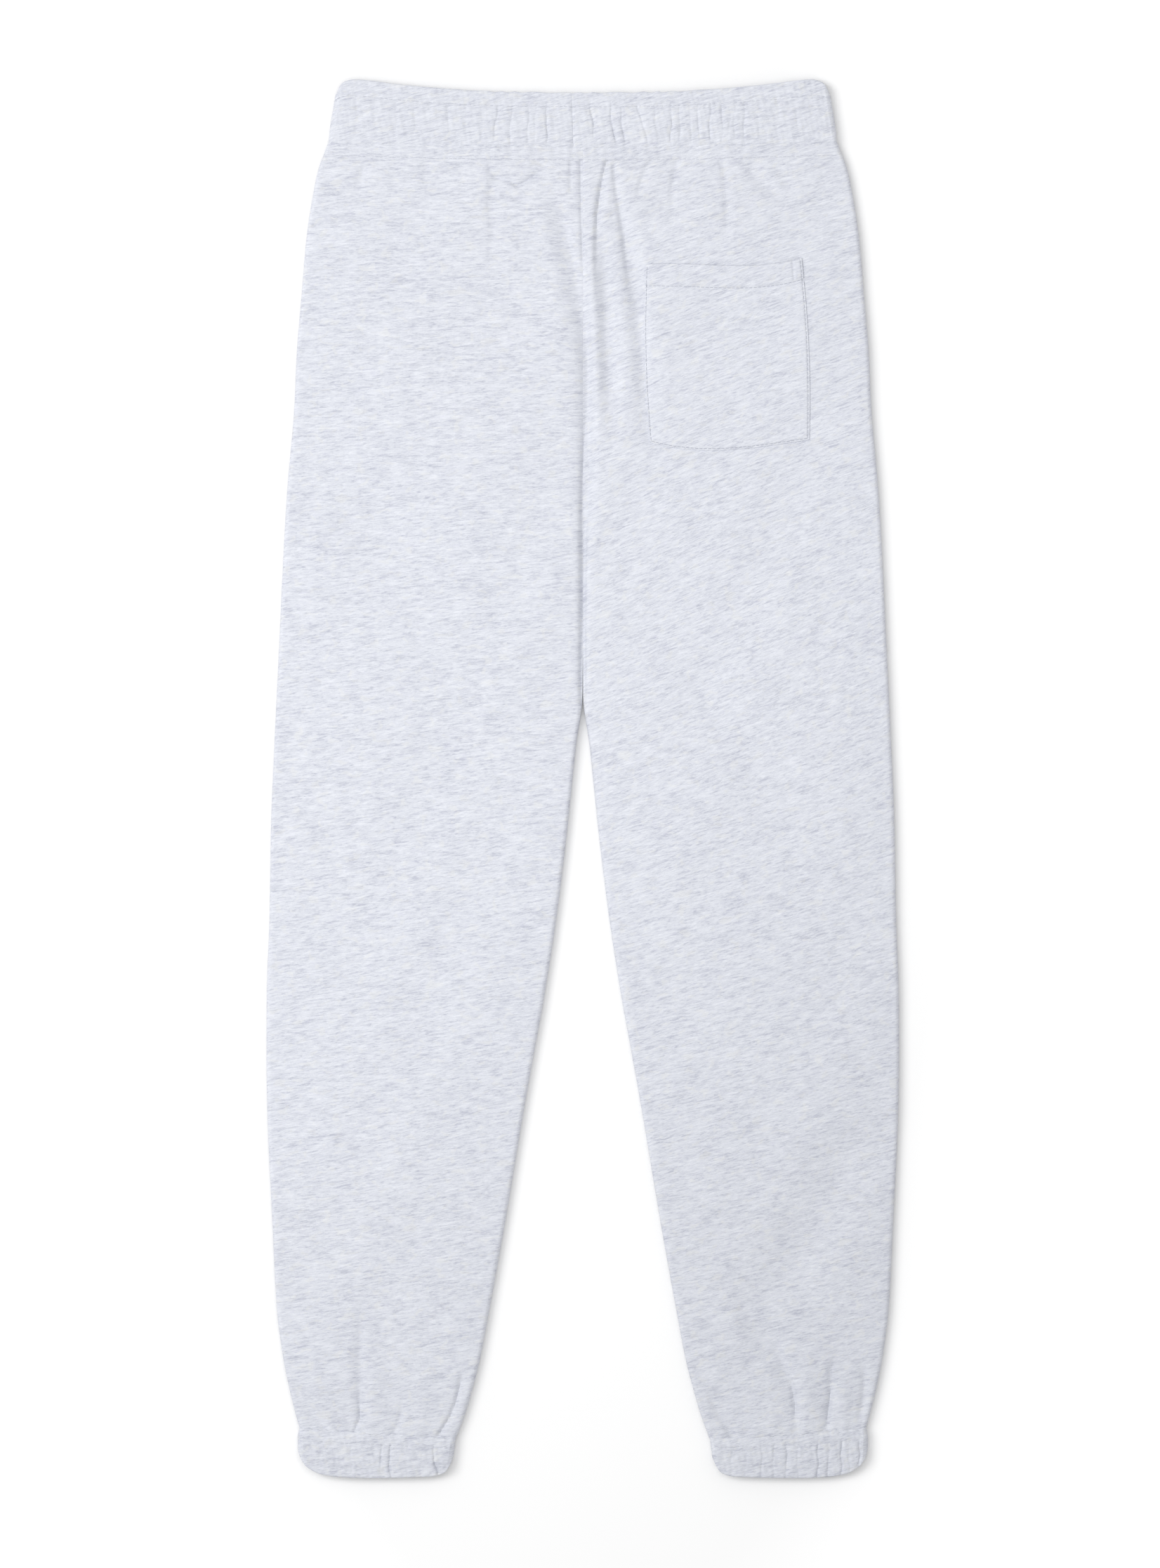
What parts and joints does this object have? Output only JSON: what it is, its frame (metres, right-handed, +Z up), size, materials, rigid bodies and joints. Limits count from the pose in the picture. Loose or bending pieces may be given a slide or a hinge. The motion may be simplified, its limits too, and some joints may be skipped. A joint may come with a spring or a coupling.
{
  "type": "jogger sweatpants",
  "caption": "Pale heather-grey fleece joggers laid flat, back side up, with a gathered waistband, a back patch pocket and gathered ankle cuffs.",
  "frame": {"origin": "on the surface the garment lies on, under the middle of its box", "axes": "+X across the garment to the pocket's side, +Y from the hems to the waist, +Z up, out of the garment's back"},
  "size_m": [0.478, 1.056, 0.0123],
  "materials": {
    "fleece": "matt heather-grey melange jersey with a brushed fleece back",
    "band": "the same melange jersey, doubled over elastic and gathered"
  },
  "bodies": {
    "root": {"back_left": "fleece", "back_right": "fleece", "front_left": "fleece", "front_right": "fleece", "back_pocket": "fleece", "waistband": "band", "cuff_left": "band", "cuff_right": "band"}
  },
  "joints": []
}
